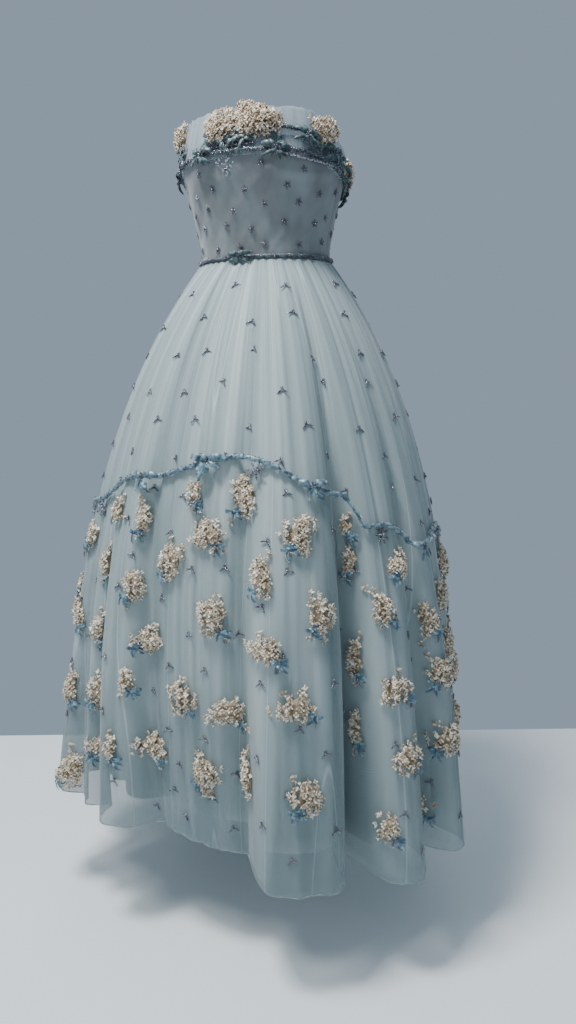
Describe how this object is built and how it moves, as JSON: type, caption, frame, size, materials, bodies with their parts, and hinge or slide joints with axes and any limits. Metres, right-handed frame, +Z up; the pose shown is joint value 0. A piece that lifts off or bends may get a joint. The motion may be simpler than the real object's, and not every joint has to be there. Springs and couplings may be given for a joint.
{
  "type": "ball gown",
  "caption": "Strapless full-length ball gown of gathered net over a plain underskirt, with flower sprays, a scalloped beaded garland and bows, filled out as worn.",
  "frame": {"origin": "centre of the waist, on the level of the waist seam, where the wearer holds the gown up", "axes": "+Z up along the body, -Y towards the front, +X towards the wearer's left"},
  "size_m": [0.8258, 0.7713, 1.3135],
  "materials": {
    "net": "matt pale blue-grey net with cream flower sprays",
    "lining": "soft satin, pale aqua",
    "bodice": "matt taupe grey-blue under net",
    "ribbon": "satin ribbon and beads, steel blue"
  },
  "bodies": {
    "root": {"overskirt_front": "net", "overskirt_front_left": "net", "overskirt_back_left": "net", "overskirt_back": "net", "overskirt_back_right": "net", "overskirt_front_right": "net", "underskirt_front": "lining", "underskirt_back_left": "lining", "underskirt_back_right": "lining", "bodice_front": "bodice", "bodice_back_left": "bodice", "bodice_back_right": "bodice", "back_placket": "bodice", "neck_band_right": "net", "neck_band_left": "net", "waist_cord": "ribbon", "bust_cord": "ribbon", "garland_1": "ribbon", "garland_2": "ribbon", "garland_3": "ribbon", "garland_4": "ribbon", "garland_5": "ribbon", "garland_6": "ribbon", "garland_7": "ribbon", "garland_8": "ribbon", "garland_9": "ribbon", "waist_bow": "ribbon", "bust_bow_1": "ribbon", "bust_bow_2": "ribbon", "bust_bow_3": "ribbon", "bust_bow_4": "ribbon", "bust_bow_5": "ribbon", "bust_bow_6": "ribbon", "bust_bow_7": "ribbon", "bust_bow_8": "ribbon", "bust_bow_9": "ribbon", "bust_bow_10": "ribbon", "garland_bow_1": "ribbon", "garland_bow_2": "ribbon", "garland_bow_3": "ribbon", "garland_bow_4": "ribbon", "garland_bow_5": "ribbon", "garland_bow_6": "ribbon", "garland_bow_7": "ribbon", "garland_bow_8": "ribbon", "garland_bow_9": "ribbon"}
  },
  "joints": []
}
